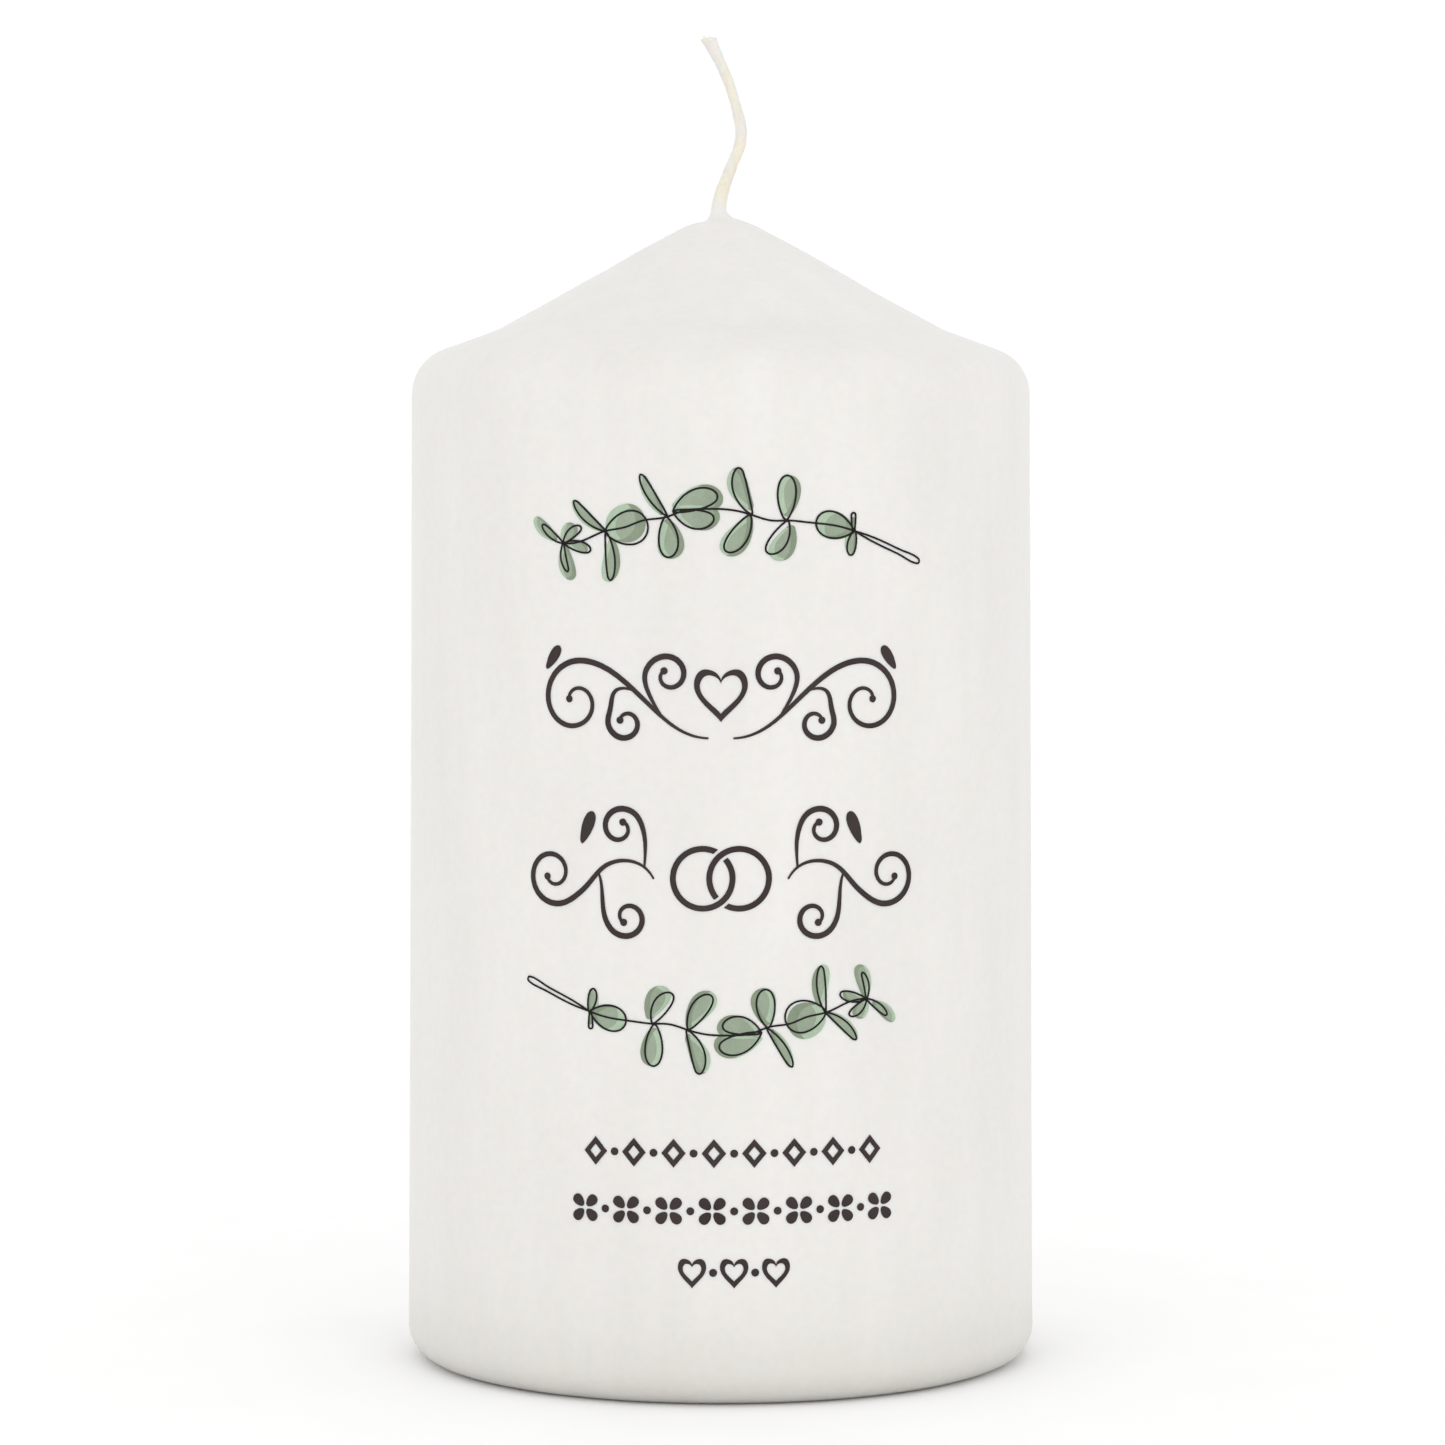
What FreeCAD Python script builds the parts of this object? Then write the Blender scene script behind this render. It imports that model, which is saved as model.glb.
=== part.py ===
"""Unity candle: a dipped pillar candle with a peaked top, a leaning wick and printed decoration.

Units are millimetres. +Z is up, the origin is the centre of the base, and the printed front faces -Y.
"""
import FreeCAD, Part
import math
import os

from FreeCAD import Vector

# ---- wax body -------------------------------------------------------------------------------
base_diameter = 80.0          # across the body just above the rounded foot
body_taper = 0.75             # how much the body's radius shrinks from the foot to the shoulder
wax_height = 145.0            # base to the crest of the peak
foot_radius = 4.0             # rounding of the bottom edge
shoulder_radius = 6.0         # rounding of the top edge
shelf_slope = 20.0            # degrees, the shelf between the shoulder and the peak
shelf_width = 11.05           # side of the shoulder to the foot of the peak
peak_height = 14.1            # shelf corner to crest
crest_radius = 11.0           # rounding of the peak's tip
corner_radius = 6.0           # soft corner between shelf and peak
coat_thickness = 2.0          # hard wax dipped over the pressed core
foot_rim_width = 6.0          # flat ring of coat that the candle stands on

# ---- wick and its sustainer -----------------------------------------------------------------
wick_diameter = 1.5
wick_clearance = 0.15         # round the wick in the drilled core
collar_radius = 1.9           # wax that climbs the wick at the crest
collar_height = 1.2
sustainer_diameter = 20.0
sustainer_thickness = 0.3
neck_wall = 0.35
neck_height = 6.0             # neck above the disc
neck_bore_clearance = 0.05
pocket_depth = 0.8            # the disc's pocket in the underside of the core
pocket_clearance = 0.4

# The wick's free end: (x, y, height above the crest) of each point that its route turns at.
wick_tail = [
    (0.0, 0.0, 2.6),
    (1.1, 0.15, 6.3),
    (2.55, 0.35, 10.2),
    (2.0, 0.1, 14.3),
    (0.6, -0.3, 18.7),
    (-1.6, -0.8, 22.7),
]
arc_share = 0.45              # how much of the shorter run each tangent arc takes up

# ---- printed decoration ---------------------------------------------------------------------
print_bottom = 14.8           # base to the lowest mark
print_top_margin = 9.25       # highest leaf to the start of the rounded shoulder
drawn_height = 98.6           # height of the drawing below, which is scaled to fit
leaf_ink = 0.04
line_ink = 0.08
dark_ink = 0.06
pen_width = 0.24              # the fine black line
scroll_width = 0.72           # the broad dark line of the scrolls
mark_width = 0.6              # the outline of the border marks
mark_height = 3.5
row_middle = 1.6              # the border rows stand this far to the right of the front
shade_shift = 0.28            # offset of a leaf's dark and pale sides, as its width's share

# ---- worked out from the values above -------------------------------------------------------
base_r = base_diameter / 2.0
shoulder_r = base_r - body_taper
corner_r = shoulder_r - shelf_width
corner_z = wax_height - peak_height
wick_r = wick_diameter / 2.0
wick_hole_r = wick_r + wick_clearance
slope = math.radians(shelf_slope)

# The peak's straight flank passes through the shelf corner and touches the crest's arc.
flank_reach = math.hypot(corner_r, crest_radius - peak_height)
flank_bearing = math.atan2(corner_r, crest_radius - peak_height)
flank = flank_bearing - math.acos(crest_radius / flank_reach)

# The shoulder's arc touches the shelf, which passes through the same corner.
shoulder_centre_r = shoulder_r - shoulder_radius
shelf_start_r = shoulder_centre_r + shoulder_radius * math.sin(slope)
shelf_start_z = corner_z - (shelf_start_r - corner_r) * math.tan(slope)
shoulder_z = shelf_start_z - shoulder_radius * math.cos(slope)

# The drawing is wrapped round the straight side of the body.
print_scale = (shoulder_z - print_top_margin - print_bottom) / drawn_height
print_reach = base_r + 5.0
sliver_area = 0.002           # scraps this small, left where two strokes cross, hold no ink

disc_top = coat_thickness + pocket_depth
disc_bottom = disc_top - sustainer_thickness
neck_bore_r = wick_r + neck_bore_clearance
neck_r = neck_bore_r + neck_wall
rim_inner_r = base_r - foot_radius - foot_rim_width


def body_radius(z):
    """Radius of the straight side of the body at height z."""
    share = (z - foot_radius) / (shoulder_z - foot_radius)
    return base_r + (shoulder_r - base_r) * share


print_r = body_radius(print_bottom + print_scale * drawn_height / 2.0)


# ---- small helpers --------------------------------------------------------------------------
def on_profile(r, z):
    return Vector(r, 0.0, z)


def arc_about(centre_r, centre_z, radius, start, end):
    """Arc in the profile plane between two angles in degrees, through their middle."""
    points = []
    for angle in (start, (start + end) / 2.0, end):
        turn = math.radians(angle)
        points.append(on_profile(centre_r + radius * math.cos(turn), centre_z + radius * math.sin(turn)))
    return Part.Arc(*points).toShape(), points[0], points[2]


def straight(a, b):
    return Part.LineSegment(a, b).toShape()


def turned(edges):
    """Solid of revolution about Z of a closed outline."""
    face = Part.Face(Part.Wire(edges))
    return face.revolve(Vector(0, 0, 0), Vector(0, 0, 1), 360)


def cylinder(radius, bottom, top):
    return Part.makeCylinder(radius, top - bottom, Vector(0, 0, bottom))


# ---- wax ------------------------------------------------------------------------------------
def wax_solid(inset):
    """The candle's outer form without its wick, moved inward all over by inset."""
    foot_centre_r = base_r - foot_radius
    foot, foot_low, foot_high = arc_about(foot_centre_r, foot_radius, foot_radius - inset, -90, 0)
    shoulder, shoulder_low, shoulder_high = arc_about(
        shoulder_centre_r, shoulder_z, shoulder_radius - inset, 0, 90 - shelf_slope)
    crest_centre_z = wax_height - crest_radius
    crest, flank_high, crest_tip = arc_about(
        0.0, crest_centre_z, crest_radius - inset, 90 - math.degrees(flank), 90)

    # The moved shelf and flank meet on the line that halves the corner.
    shelf_in = Vector(-math.sin(slope), 0, -math.cos(slope))
    flank_in = Vector(-math.sin(flank), 0, -math.cos(flank))
    corner = on_profile(corner_r, corner_z) + (shelf_in + flank_in) * (inset / (1 + shelf_in.dot(flank_in)))

    # A soft corner: its arc touches the shelf and the flank.
    radius = corner_radius + inset
    half_turn = (flank - slope) / 2.0
    setback = radius * math.tan(half_turn)
    along_shelf = Vector(math.cos(slope), 0, -math.sin(slope))
    along_flank = Vector(-math.cos(flank), 0, math.sin(flank))
    corner_low = corner + along_shelf * setback
    corner_high = corner + along_flank * setback
    away = (along_shelf + along_flank).normalize()
    corner_mid = corner + away * (radius / math.cos(half_turn) - radius)
    corner_arc = Part.Arc(corner_low, corner_mid, corner_high).toShape()

    base_centre = on_profile(0.0, inset)
    return turned([
        straight(base_centre, foot_low), foot, straight(foot_high, shoulder_low), shoulder,
        straight(shoulder_high, corner_low), corner_arc, straight(corner_high, flank_high), crest,
        straight(crest_tip, base_centre)])


def wick_collar():
    """Wax drawn up the wick at the crest: a concave fillet, turned about the axis."""
    foot_z = wax_height - crest_radius + math.sqrt(crest_radius ** 2 - collar_radius ** 2)
    top_r = wick_hole_r + 0.15
    top_z = wax_height + collar_height
    waist = on_profile(top_r + 0.22 * (collar_radius - top_r), foot_z + 0.32 * (top_z - foot_z))
    low = on_profile(collar_radius, foot_z)
    high = on_profile(top_r, top_z)
    tip = on_profile(0.0, top_z)
    bottom = wax_height - coat_thickness / 2.0
    return turned([
        Part.Arc(low, waist, high).toShape(), straight(high, tip), straight(tip, on_profile(0.0, bottom)),
        straight(on_profile(0.0, bottom), on_profile(collar_radius, bottom)),
        straight(on_profile(collar_radius, bottom), low)])


def overdip_coat(core_form):
    coat = wax_solid(0.0).fuse(wick_collar()).removeSplitter()
    coat = coat.cut(core_form)
    coat = coat.cut(cylinder(rim_inner_r, -1.0, coat_thickness + 1.0))
    return coat.cut(cylinder(wick_hole_r, 0.0, wax_height + collar_height + 1.0))


def wax_core(core_form):
    core = core_form.cut(cylinder(wick_hole_r, 0.0, wax_height))
    core = core.cut(cylinder(sustainer_diameter / 2.0 + pocket_clearance, 0.0, disc_top))
    return core.cut(cylinder(neck_r + pocket_clearance, 0.0, disc_top + neck_height + pocket_clearance))


def wick_sustainer():
    """Pressed steel disc with a neck that grips the wick."""
    disc = cylinder(sustainer_diameter / 2.0, disc_bottom, disc_top)
    neck = cylinder(neck_r, disc_bottom, disc_top + neck_height)
    return disc.fuse(neck).removeSplitter().cut(cylinder(neck_bore_r, 0.0, wax_height))


# ---- wick -----------------------------------------------------------------------------------
def wick_route():
    points = [Vector(0, 0, disc_bottom)]
    points += [Vector(x, y, wax_height + above) for x, y, above in wick_tail]
    return points


def route_wire(points):
    """Straight runs joined by tangent arcs; prints each arc's radius."""
    edges = []
    start = points[0]
    for before, corner, after in zip(points, points[1:], points[2:]):
        back = (before - corner).normalize()
        ahead = (after - corner).normalize()
        setback = arc_share * min((before - corner).Length, (after - corner).Length)
        half_turn = (math.pi - back.getAngle(ahead)) / 2.0
        radius = setback / math.tan(half_turn)
        bisector = (back + ahead).normalize()
        middle = corner + bisector * (radius / math.cos(half_turn) - radius)
        edges.append(straight(start, corner + back * setback))
        edges.append(Part.Arc(corner + back * setback, middle, corner + ahead * setback).toShape())
        start = corner + ahead * setback
        print("wick arc at height %.1f: radius %.1f" % (corner.z, radius))
    edges.append(straight(start, points[-1]))
    return Part.Wire(edges)


def wick():
    path = route_wire(wick_route())
    circle = Part.Wire(Part.Circle(Vector(0, 0, disc_bottom), Vector(0, 0, 1), wick_r).toShape())
    tube = path.makePipeShell([circle], True, False)
    expected = math.pi * wick_r ** 2 * path.Length
    print("wick length %.2f, volume %.3f, section times length %.3f" % (path.Length, tube.Volume, expected))
    return tube


# ---- drawing on the curved side -------------------------------------------------------------
# Each shape is drawn flat in (across, up) millimetres. A frame moves it to its place in the
# drawing, wraps it round the body and returns the point on the plane seen from the front.
def drawing_frame(across, up, turn=0.0, size=1.0, mirror=1.0):
    angle = math.radians(turn)

    def place(u, v):
        s = across + size * (mirror * u * math.cos(angle) - v * math.sin(angle))
        h = up + size * (mirror * u * math.sin(angle) + v * math.cos(angle))
        wrap = print_scale * s / print_r
        return Vector(print_r * math.sin(wrap), -print_reach, print_bottom + print_scale * h)

    return place


def curve_through(points, closed=False):
    curve = Part.BSplineCurve()
    if closed:
        curve.interpolate(Points=points, PeriodicFlag=True)
    else:
        curve.interpolate(points)
    return curve


def closed_face(outline, place):
    """Face inside a smooth closed outline."""
    curve = curve_through([place(u, v) for u, v in outline], closed=True)
    return Part.Face(Part.Wire(curve.toShape()))


def polygon_face(corners, place):
    points = [place(u, v) for u, v in corners]
    return Part.Face(Part.makePolygon(points + [points[0]]))


def stroke(points, width, place, thin_start=1.0, thin_end=1.0):
    """Face of a pen stroke along a smooth line, tapered by the given shares at its two ends."""
    line = curve_through([Vector(u, 0, v) for u, v in points])
    steps = 5 * (len(points) - 1)
    left = []
    right = []
    for step in range(steps + 1):
        share = step / steps
        parameter = line.FirstParameter + share * (line.LastParameter - line.FirstParameter)
        centre = line.value(parameter)
        tangent = line.tangent(parameter)[0]
        thin = thin_start + (1 - thin_start) * math.sin(math.pi * min(share, 0.5))
        if share > 0.5:
            thin = thin_end + (1 - thin_end) * math.sin(math.pi * share)
        half = width * thin / 2.0
        left.append((centre.x - tangent.z * half, centre.z + tangent.x * half))
        right.append((centre.x + tangent.z * half, centre.z - tangent.x * half))
        if step == 0:
            start_cap = (centre.x - tangent.x * half, centre.z - tangent.z * half)
        if step == steps:
            end_cap = (centre.x + tangent.x * half, centre.z + tangent.z * half)
    left_side = [place(u, v) for u, v in left]
    right_side = [place(u, v) for u, v in reversed(right)]
    edges = [
        curve_through(left_side).toShape(),
        Part.Arc(left_side[-1], place(*end_cap), right_side[0]).toShape(),
        curve_through(right_side).toShape(),
        Part.Arc(right_side[-1], place(*start_cap), left_side[0]).toShape()]
    return Part.Face(Part.Wire(edges))


def egg(base, tip, width, fullness=0.0, bend=0.0, count=14):
    """Egg-shaped outline from base to tip. Fullness moves its widest part towards the tip,
    and bend bows it to the left of the line from base to tip."""
    du = tip[0] - base[0]
    dv = tip[1] - base[1]
    length = math.hypot(du, dv)
    outline = []
    for step in range(count):
        angle = 2 * math.pi * step / count
        along = (1 - math.cos(angle)) / 2.0
        off = width / 2.0 * math.sin(angle) * (1 - fullness * math.cos(angle))
        off -= bend * 4 * along * (1 - along)
        outline.append((
            base[0] + du * along + dv / length * off,
            base[1] + dv * along - du / length * off))
    return outline


def disc_outline(centre, radius, count=8):
    angles = [2 * math.pi * step / count for step in range(count)]
    return [(centre[0] + radius * math.cos(a), centre[1] + radius * math.sin(a)) for a in angles]


def drop(base, tip, width, bend=0.0, count=16):
    """Teardrop outline, pointed at the base and round at the tip, bowed like an egg."""
    du = tip[0] - base[0]
    dv = tip[1] - base[1]
    length = math.hypot(du, dv)
    narrowing = 0.55
    share = (1 + narrowing) / (2 + narrowing)
    widest = 2 * share ** ((1 + narrowing) / 2.0) * math.sqrt(1 - share)
    outline = []
    for step in range(count + 1):
        angle = 2 * math.pi * step / count
        along = (1 - math.cos(angle)) / 2.0
        across = math.sin(angle) * abs(math.sin(angle / 2.0)) ** narrowing
        off = width / 2.0 * across / widest
        off -= bend * 4 * along * (1 - along)
        outline.append((
            base[0] + du * along + dv / length * off,
            base[1] + dv * along - du / length * off))
    return outline


def cornered_face(outline, place):
    """Face inside a smooth outline that starts and ends at the same corner."""
    return Part.Face(Part.Wire(curve_through([place(u, v) for u, v in outline]).toShape()))


def hairpin(base, tip, width):
    """Outline of a long narrow loop, pointed at the base, with straight arms and a half round tip."""
    length = math.dist(base, tip)
    du = (tip[0] - base[0]) / length
    dv = (tip[1] - base[1]) / length
    radius = width / 2.0
    arm = [(0.25 * length, 0.7 * radius), (0.5 * length, 0.9 * radius), (0.75 * length, radius)]
    turn = [math.radians(degrees) for degrees in (90, 45, 0, -45, -90)]
    end = [(length - radius + radius * math.cos(t), radius * math.sin(t)) for t in turn]
    back = [(along, -off) for along, off in reversed(arm)]
    outline = [(0.0, 0.0)] + arm + end + back + [(0.0, 0.0)]
    return [
        (base[0] + du * along + dv * off, base[1] + dv * along - du * off) for along, off in outline]


def loop_line(outline, place):
    """Fine pen line of even width along an outline that starts and ends at the same corner."""
    centre = [Vector(u, 0, v) for u, v in outline]
    half = pen_width / 2.0
    out_way = (centre[1] - centre[0]).normalize()
    back_way = (centre[-2] - centre[0]).normalize()
    reach = half / math.sin(out_way.getAngle(back_way) / 2.0)
    bisector = (out_way + back_way).normalize()
    outer = [centre[0] - bisector * min(reach, pen_width)]
    inner = [centre[0] + bisector * reach]
    opposite = centre[-2:0:-1]
    for before, point, after, across in zip(centre, centre[1:], centre[2:], opposite):
        along = (after - before).normalize()
        side = Vector(-along.z, 0, along.x) * half
        outer.append(point - side)
        if point == across or (point - across).Length > 1.3 * pen_width:
            inner.append(point + side)
    rings = []
    for ring in (outer, inner):
        rings.append(cornered_face([(point.x, point.z) for point in ring + ring[:1]], place))
    return rings[0].cut(rings[1])


def spiral(centre, outer, inner, start, sweep):
    """Points of a scroll's curl, winding in from the outer radius to the inner one."""
    count = max(4, int(abs(sweep) / 40.0))
    points = []
    for step in range(count + 1):
        share = step / count
        angle = math.radians(start + sweep * share)
        radius = outer + (inner - outer) * share ** 0.8
        points.append((centre[0] + radius * math.cos(angle), centre[1] + radius * math.sin(angle)))
    return points


def joined(faces):
    whole = faces[0]
    if len(faces) > 1:
        whole = faces[0].multiFuse(faces[1:])
    if whole.Faces and not whole.Shells:
        whole = Part.Shell(whole.Faces)
    return whole.removeSplitter()


# ---- ink ------------------------------------------------------------------------------------
def front_shell(thickness):
    """The film of space on the front half of the body's straight side."""
    height = shoulder_z - foot_radius
    foot = Vector(0, 0, foot_radius)
    shell = Part.makeCone(base_r + thickness, shoulder_r + thickness, height, foot)
    shell = shell.cut(Part.makeCone(base_r, shoulder_r, height, foot))
    front = Part.makeBox(2 * print_reach, print_reach, wax_height, Vector(-print_reach, -print_reach, 0))
    return shell.common(front)


def in_short_edges(wire, count=4):
    """The same outline; an outline that is one closed edge is cut into shorter ones, whose areas
    are worked out more exactly."""
    if len(wire.Edges) > 1:
        return wire
    edge = wire.Edges[0]
    first, last = edge.ParameterRange
    stops = [first + (last - first) * k / count for k in range(count + 1)]
    return Part.Wire([edge.Curve.toShape(start, end) for start, end in zip(stops, stops[1:])])


def redrawn(face):
    """The same face with short edges."""
    outlines = [in_short_edges(wire) for wire in face.Wires]
    outlines.sort(key=lambda wire: wire.BoundBox.DiagonalLength)
    whole = Part.Face(outlines.pop())
    for hole in outlines:
        whole = whole.cut(Part.Face(hole))
    return whole


def printed(flat, shell):
    """Wrap flat faces onto the front of the body as a film of ink, one face at a time."""
    films = []
    for face in flat.Faces:
        if face.Area > sliver_area:
            films += redrawn(face).extrude(Vector(0, print_reach, 0)).common(shell).Solids
    return Part.makeCompound(films)


# ---- sprigs ---------------------------------------------------------------------------------
# Each leaf, about the sprig's middle: base, tip, width, fullness and bend of its green shape, then
# where its pen line leaves the stem, and the tip and width of that line's loop.
sprig_leaves = [
    ((-21.6, -1.9), (-24.9, 0.7), 1.7, 0.15, 0.15, (-20.7, -2.3), (-23.7, -0.1), 1.1),
    ((-20.9, -1.9), (-18.9, -0.2), 1.9, 0.2, 0.2, (-20.7, -2.3), (-18.3, -0.3), 1.4),
    ((-20.6, -2.4), (-19.5, -6.7), 2.1, 0.25, -0.3, (-20.7, -2.2), (-20.1, -5.7), 1.0),
    ((-20.0, -2.3), (-17.4, -3.2), 1.3, 0.2, 0.1, (-20.6, -2.3), (-17.0, -3.1), 1.5),
    ((-15.3, -0.7), (-19.4, 2.9), 1.6, 0.1, 0.35, (-15.0, -0.8), (-19.2, 2.8), 1.3),
    ((-15.0, -0.3), (-10.0, 0.6), 4.6, 0.1, 0.0, (-15.1, -0.9), (-9.7, 0.0), 4.3),
    ((-14.2, -1.6), (-14.8, -6.9), 2.2, 0.3, 0.25, (-15.0, -0.8), (-14.4, -6.7), 1.4),
    ((-7.9, 1.2), (-10.5, 6.0), 1.5, 0.15, 0.25, (-7.3, 1.0), (-10.6, 6.0), 1.3),
    ((-7.3, 0.7), (-6.8, -4.1), 3.1, 0.35, 0.1, (-7.5, 1.0), (-7.1, -3.9), 2.6),
    ((-6.7, 2.2), (-0.6, 3.3), 3.0, 0.4, 0.35, (-6.6, 1.6), (-1.3, 3.6), 2.7),
    ((-6.5, 2.0), (-1.0, 0.7), 2.8, 0.4, -0.4, (-6.6, 1.6), (-1.7, 0.6), 2.5),
    ((2.9, 1.8), (0.8, 6.8), 2.4, 0.3, 0.5, (2.9, 1.2), (1.2, 6.8), 2.0),
    ((2.8, 1.0), (-0.5, -3.5), 2.9, 0.35, 0.25, (2.7, 1.2), (-0.2, -3.2), 2.4),
    ((7.1, 1.0), (7.6, 5.9), 2.8, 0.25, 0.0, (7.0, 0.5), (7.2, 5.9), 2.5),
    ((7.9, -0.1), (5.4, -4.1), 2.8, 0.3, 0.3, (7.3, 0.5), (4.8, -3.4), 2.3),
    ((15.5, -0.7), (11.0, 0.4), 3.4, 0.2, 0.0, (15.6, -0.8), (10.8, 0.5), 3.4),
    ((15.6, 0.9), (15.2, -3.7), 1.4, 0.45, -0.1, (15.8, -0.7), (15.2, -3.7), 1.4),
]
sprig_stem = [
    (-20.7, -2.3), (-17.6, -1.8), (-15.1, -0.8), (-12.5, -0.3), (-10.3, 0.5), (-7.5, 0.9), (-5.6, 1.6),
    (-2.8, 1.9), (0.2, 1.8), (2.8, 1.2), (5.3, 0.5), (7.3, 0.5), (9.5, 0.3), (12.4, 0.0), (15.7, -0.8)]
stem_loop = ((15.5, -0.7), (25.0, -4.6), 0.9)       # the cut end of the stem: base, tip and width
bud_loop = ((15.6, -0.9), (15.6, 1.4), 0.8)
upper_sprig = drawing_frame(0.85, 91.9)
lower_sprig = drawing_frame(-1.4, 32.3, turn=180.0, size=0.95)


def sprig_line(place):
    """The fine pen line of a sprig: a loop round each leaf, and the stem with its looped end."""
    faces = [stroke(sprig_stem, pen_width, place)]
    for base, tip, width in (stem_loop, bud_loop):
        faces.append(loop_line(hairpin(base, tip, width - pen_width), place))
    for _, _, _, _, bend, start, end, width in sprig_leaves:
        faces.append(loop_line(drop(start, end, width - pen_width, bend), place))
    return joined(faces)


def sprig_greens(place, line):
    """The green washes of a sprig, dark down one side of each leaf and pale down the other.
    They stop at the pen line, which is printed straight on the wax."""
    whole = []
    dark = []
    pale = []
    for index, (base, tip, width, fullness, bend, _, _, _) in enumerate(sprig_leaves):
        outline = egg(base, tip, width, fullness, bend)
        leaf = closed_face(outline, place)
        bearing = math.radians(25.0 * math.sin(2.4 * index))
        shift_u = shade_shift * width * math.cos(bearing)
        shift_v = shade_shift * width * math.sin(bearing)
        whole.append(leaf)
        dark.append(leaf.cut(closed_face([(u - shift_u, v - shift_v) for u, v in outline], place)))
        pale.append(leaf.cut(closed_face([(u + shift_u, v + shift_v) for u, v in outline], place)))
    dark = joined(dark)
    pale = joined(pale).cut(dark)
    middle = joined(whole).cut(dark).cut(pale)
    return {"dark": dark.cut(line), "mid": middle.cut(line), "pale": pale.cut(line)}


# ---- scrolls and rings ----------------------------------------------------------------------
def scroll_arm(points, curl, place, thin_start=0.35):
    """A stem that runs into a curl and ends in a ball."""
    line = points + curl
    return [
        stroke(line, scroll_width, place, thin_start=thin_start, thin_end=0.55),
        closed_face(disc_outline(curl[-1], 0.62 * scroll_width), place)]


# One side of a heart from its notch to its point, in shares of its half width and of its height.
heart_lobe = [
    (0.0, 0.26), (0.30, 0.45), (0.72, 0.46), (0.98, 0.20), (0.78, -0.10), (0.36, -0.34), (0.0, -0.54)]


def heart_face(place, half_width, height, lift):
    """Filled heart about a point that is lift above its frame's origin."""
    edges = []
    for side in (1.0, -1.0):
        lobe = [place(side * half_width * u, lift + height * v) for u, v in heart_lobe]
        edges.append(curve_through(lobe).toShape())
    return Part.Face(Part.Wire(edges))


def heart(place, half_width, height, width):
    """Outline of a heart, with its widest and tallest measures and the width of its line."""
    outer = heart_face(place, half_width, height, 0.0)
    inner = heart_face(place, half_width - width, height - 2.35 * width, 0.12 * width)
    return outer.cut(inner)


def upper_scroll():
    """A heart between two mirrored scrolls."""
    faces = heart(drawing_frame(0.0, 71.6), 3.3, 6.2, scroll_width).Faces
    for mirror in (1.0, -1.0):
        place = drawing_frame(0.0, 71.2, mirror=mirror)
        main = [(1.6, -4.9), (5.0, -3.9), (8.4, -1.2), (12.0, 2.0)]
        faces += scroll_arm(main, spiral((18.2, -0.6), 5.4, 0.9, 125, -470), place)
        back = [(7.2, -2.2), (8.9, 0.8)]
        faces += scroll_arm(back, spiral((6.3, 2.6), 2.9, 0.8, 5, 400), place)
        under = [(10.4, 0.7), (13.3, 0.1)]
        faces += scroll_arm(under, spiral((11.6, -3.1), 2.6, 0.8, 40, -380), place)
        faces.append(closed_face(egg((22.3, 3.2), (20.4, 6.0), 1.3, 0.3), place))
    return joined(faces)


def lower_scroll():
    """Mirrored scrolls either side of the linked rings."""
    faces = []
    for mirror in (1.0, -1.0):
        place = drawing_frame(0.0, 49.2, mirror=mirror)
        main = [(8.2, 0.2), (11.0, 2.2), (14.2, 1.6), (16.6, -0.8)]
        faces += scroll_arm(main, spiral((21.4, 0.4), 4.2, 0.9, 215, 480), place)
        above = [(9.3, 1.5), (9.2, 4.4)]
        faces += scroll_arm(above, spiral((12.4, 6.2), 2.9, 0.8, 180, -420), place)
        below = [(15.2, 0.8), (14.6, -3.0)]
        faces += scroll_arm(below, spiral((11.4, -4.6), 2.8, 0.8, -10, -400), place)
        faces.append(closed_face(egg((17.4, 4.2), (15.9, 8.1), 1.5, 0.3), place))
    return joined(faces)


def linked_rings():
    """Two plain rings, each passing over the other once."""
    place = drawing_frame(0.0, 49.4)
    radius = 3.6
    offset = 2.2
    gap = 0.35
    crossing = math.sqrt(radius ** 2 - offset ** 2)
    bands = []
    for side in (-1.0, 1.0):
        outer = closed_face(disc_outline((side * offset, 0.0), radius + scroll_width / 2.0, 12), place)
        inner = closed_face(disc_outline((side * offset, 0.0), radius - scroll_width / 2.0, 12), place)
        bands.append(outer.cut(inner))
    faces = []
    for band, other_side, height in ((bands[0], 1.0, crossing), (bands[1], -1.0, -crossing)):
        reach = scroll_width / 2.0 + gap
        outer = closed_face(disc_outline((other_side * offset, 0.0), radius + reach, 12), place)
        inner = closed_face(disc_outline((other_side * offset, 0.0), radius - reach, 12), place)
        low = height - 1.3
        high = height + 1.3
        window = polygon_face([(-1.6, low), (1.6, low), (1.6, high), (-1.6, high)], place)
        faces.append(band.cut(outer.cut(inner).common(window)))
    return Part.makeCompound(faces)


# ---- border marks ---------------------------------------------------------------------------
def lozenge(place):
    """Outline of a lozenge."""
    half_v = mark_height / 2.0
    half_u = 0.85 * half_v
    side = math.hypot(half_u, half_v)
    inner_u = half_u - mark_width * side / half_v
    inner_v = half_v - mark_width * side / half_u
    outer = polygon_face([(half_u, 0.0), (0.0, half_v), (-half_u, 0.0), (0.0, -half_v)], place)
    inner = polygon_face([(inner_u, 0.0), (0.0, inner_v), (-inner_u, 0.0), (0.0, -inner_v)], place)
    return [outer.cut(inner)]


def flower(place):
    """Four petals round a clear centre."""
    faces = []
    for turn in range(0, 360, 90):
        along = (math.cos(math.radians(turn + 45)), math.sin(math.radians(turn + 45)))
        base = (0.32 * along[0], 0.32 * along[1])
        tip = (0.58 * mark_height * along[0], 0.58 * mark_height * along[1])
        faces.append(closed_face(egg(base, tip, 0.36 * mark_height, 0.25), place))
    return faces


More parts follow.
